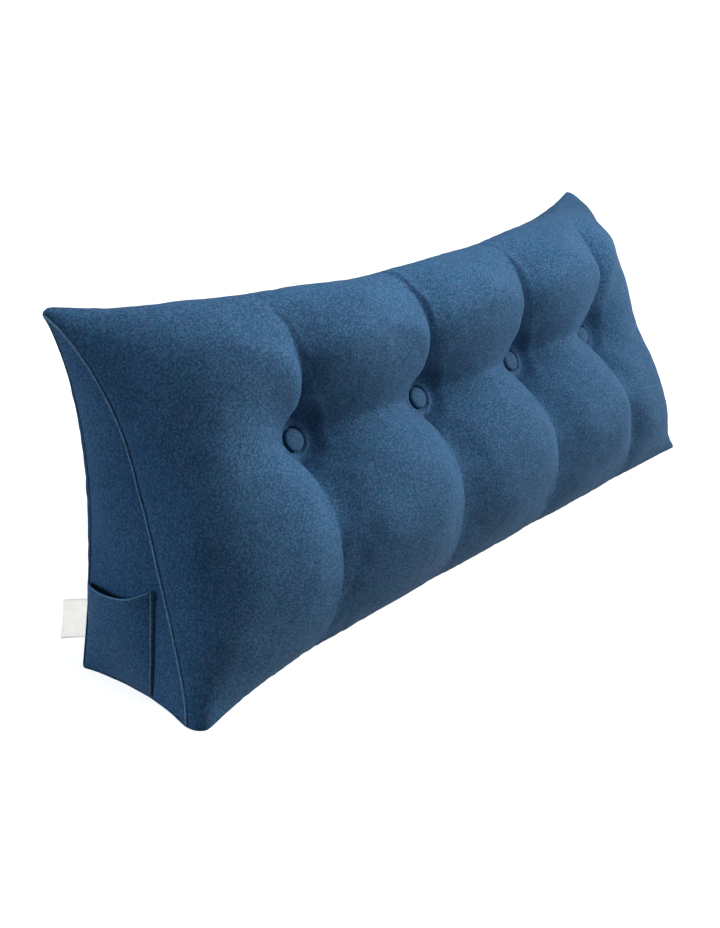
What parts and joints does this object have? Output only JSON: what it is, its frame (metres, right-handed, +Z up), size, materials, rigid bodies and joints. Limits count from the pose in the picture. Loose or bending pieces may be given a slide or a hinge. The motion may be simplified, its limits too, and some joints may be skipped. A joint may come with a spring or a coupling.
{
  "type": "wedge pillow",
  "caption": "Upholstered wedge pillow for leaning back in bed, with a buttoned slanting front, a flat base, side gussets, a side pocket and a blank label",
  "frame": {"origin": "on the flat base panel, near its middle", "axes": "X along the pillow, with the pocket at the low end; Y from the buttoned front to the back; Z up"},
  "size_m": [1.3398, 0.3512, 0.506],
  "materials": {
    "cover_cloth": "soft blue melange upholstery cloth",
    "button_cloth": "the cover's cloth stretched over a button",
    "pocket_cloth": "the cover's cloth, hemmed at the mouth",
    "label_cloth": "plain cream tape, blank"
  },
  "bodies": {
    "root": {"pillow": "cover_cloth", "button_1": "button_cloth", "button_2": "button_cloth", "button_3": "button_cloth", "button_4": "button_cloth", "side_pocket": "pocket_cloth", "label": "label_cloth"}
  },
  "joints": []
}
